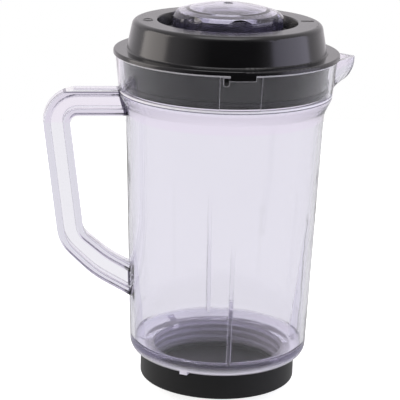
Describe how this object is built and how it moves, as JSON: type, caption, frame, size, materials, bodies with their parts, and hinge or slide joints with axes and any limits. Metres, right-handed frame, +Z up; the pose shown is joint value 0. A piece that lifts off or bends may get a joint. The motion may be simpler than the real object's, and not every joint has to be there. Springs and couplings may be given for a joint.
{
  "type": "blender jar",
  "caption": "Clear plastic blender jar with a beak spout, an I-section handle and mixing fins inside, a black lid with a fluted clear filler cap, and a black screw-on base cap.",
  "frame": {"origin": "centre of the base cap's underside, on the jar's axis, where the jar stands", "axes": "+Z up along the jar's axis, +X towards the spout, -X towards the handle, -Y towards the front notch of the rim"},
  "size_m": [0.1562, 0.113, 0.1946],
  "materials": {
    "clear_plastic": "clear moulded plastic, glossy, with a faint lilac tint",
    "clear_cap": "clear moulded plastic, glossy",
    "black_gloss": "black moulded plastic, half gloss outside with a satin top",
    "black_satin": "black moulded plastic, satin",
    "seal": "soft dark rubber, matt"
  },
  "bodies": {
    "jar": {"jar_body": "clear_plastic"},
    "lid": {"lid": "black_gloss", "lid_seal": "seal"},
    "filler_cap": {"filler_cap": "clear_cap"},
    "base_seal": {"base_seal": "seal"},
    "base_cap": {"base_cap": "black_satin"}
  },
  "joints": [
    {"name": "lid_lift", "type": "slide", "parent": "jar", "child": "lid", "axis": [0, 0, 1], "range_m": [0, 0.06]},
    {"name": "cap_turn", "type": "hinge", "parent": "lid", "child": "filler_cap", "pos_m": [0, 0, 0.1792], "axis": [0, 0, 1], "range_deg": [0, 60]},
    {"name": "base_cap_feed", "type": "slide", "parent": "jar", "child": "base_seal", "axis": [0, 0, -1], "range_m": [0, 0.006]},
    {"name": "base_cap_turn", "type": "hinge", "parent": "base_seal", "child": "base_cap", "pos_m": [0, 0, 0], "axis": [0, 0, -1], "range_deg": [0, 540]}
  ],
  "couplings": [
    {"joint": "base_cap_feed", "follows": "base_cap_turn", "m_per_rad": 0.00063662}
  ]
}
